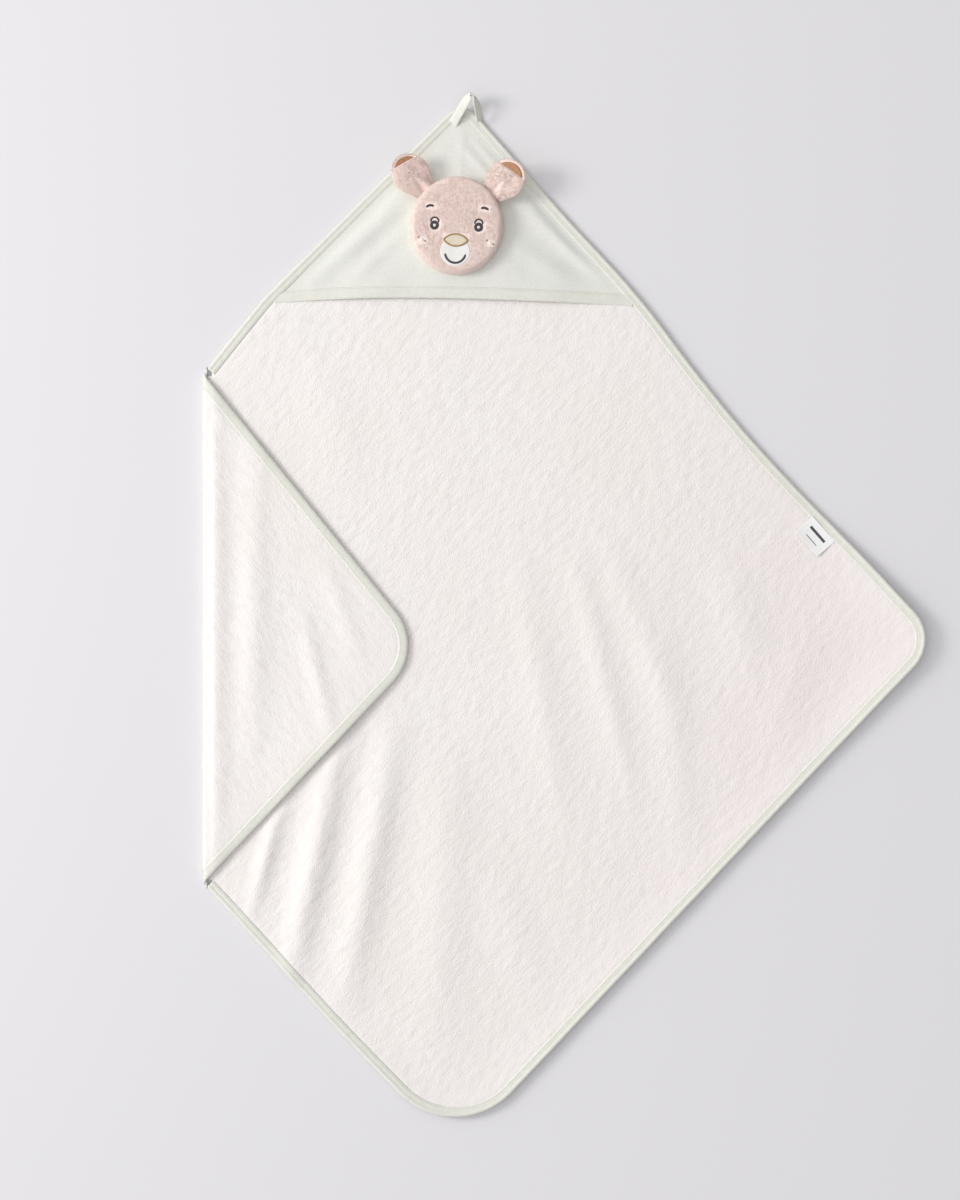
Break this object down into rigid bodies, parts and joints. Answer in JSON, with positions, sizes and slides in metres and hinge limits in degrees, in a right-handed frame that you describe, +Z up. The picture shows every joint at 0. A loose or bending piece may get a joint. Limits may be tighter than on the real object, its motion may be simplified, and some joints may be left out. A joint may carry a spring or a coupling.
{
  "type": "hooded baby towel",
  "caption": "Square terry bath towel with rounded corners, bound edge, jersey hood with a plush animal face and ears, hanging loop and care label; one side corner folded over.",
  "frame": {"origin": "on the underside, where the towel's two diagonals cross", "axes": "+Y from the centre towards the hood's tip, +X towards the side corner that lies flat, +Z up from the underside to the hood's face"},
  "size_m": [0.8175, 1.1576, 0.0418],
  "materials": {
    "terry": "white cotton terry with a looped pile on both sides",
    "mint_tape": "pale mint cotton jersey tape, folded and topstitched",
    "mint_jersey": "smooth pale mint cotton jersey with soft creases",
    "pink_plush": "short pink velour plush with a visible nap",
    "padding": "white polyester wadding",
    "tan_lining": "tan cotton lining, plain weave",
    "white_thread": "white satin-stitch embroidery",
    "cream_thread": "cream satin-stitch embroidery",
    "gold_thread": "gold-brown embroidery thread",
    "dark_thread": "dark grey embroidery thread with a slight sheen",
    "satin": "white woven satin label ribbon"
  },
  "bodies": {
    "towel": {"terry_sheet_main": "terry", "binding_upper_left": "mint_tape", "binding_upper_right": "mint_tape", "binding_lower_right": "mint_tape", "binding_lower_left": "mint_tape"},
    "corner_flap": {"terry_sheet_flap": "terry", "binding_flap": "mint_tape"},
    "hood": {"terry_sheet_hood_corner": "terry", "binding_hood_left": "mint_tape", "binding_hood_right": "mint_tape", "hood_panel": "mint_jersey", "hood_mouth_hem": "mint_tape", "face_plush": "pink_plush", "face_padding": "padding", "muzzle_patch": "white_thread", "nose_outline": "gold_thread", "nose_fill": "cream_thread", "smile": "dark_thread", "eye_left": "dark_thread", "eye_right": "dark_thread", "eye_light_left": "white_thread", "eye_light_right": "white_thread", "eyelid_left": "dark_thread", "eyelid_right": "dark_thread", "brow_left": "dark_thread", "brow_right": "dark_thread", "cheek_spot_left": "white_thread", "cheek_spot_right": "white_thread"},
    "ear_left": {"ear_left": "pink_plush", "ear_lining_left": "tan_lining"},
    "ear_right": {"ear_right": "pink_plush", "ear_lining_right": "tan_lining"},
    "hanging_loop": {"hanging_loop": "mint_tape"},
    "care_label": {"care_label": "satin"}
  },
  "joints": [
    {"name": "corner_unfold", "type": "hinge", "parent": "towel", "child": "corner_flap", "pos_m": [-0.296, 0, 0.00475], "axis": [0, -1, 0], "range_deg": [0, 180]},
    {"name": "hood_lift", "type": "hinge", "parent": "towel", "child": "hood", "pos_m": [0, 0.372, 0.00475], "axis": [1, 0, 0], "range_deg": [0, 120]},
    {"name": "ear_left_bend", "type": "hinge", "parent": "hood", "child": "ear_left", "pos_m": [-0.04998, 0.51611, 0.016], "axis": [0.7408, 0.6717, 0], "range_deg": [-20, 45], "stiffness_Nm_per_rad": 0.05},
    {"name": "ear_right_bend", "type": "hinge", "parent": "hood", "child": "ear_right", "pos_m": [0.02841, 0.51228, 0.016], "axis": [0.6717, -0.7408, 0], "range_deg": [-20, 45], "stiffness_Nm_per_rad": 0.05},
    {"name": "loop_swing", "type": "hinge", "parent": "hood", "child": "hanging_loop", "pos_m": [-0.004, 0.592, 0.0086], "axis": [1, 0, 0], "range_deg": [-20, 110], "stiffness_Nm_per_rad": 0.005},
    {"name": "label_lift", "type": "hinge", "parent": "towel", "child": "care_label", "pos_m": [0.40172, 0.13161, 0.0049], "axis": [-0.6603, 0.751, 0], "range_deg": [0, 150]}
  ]
}
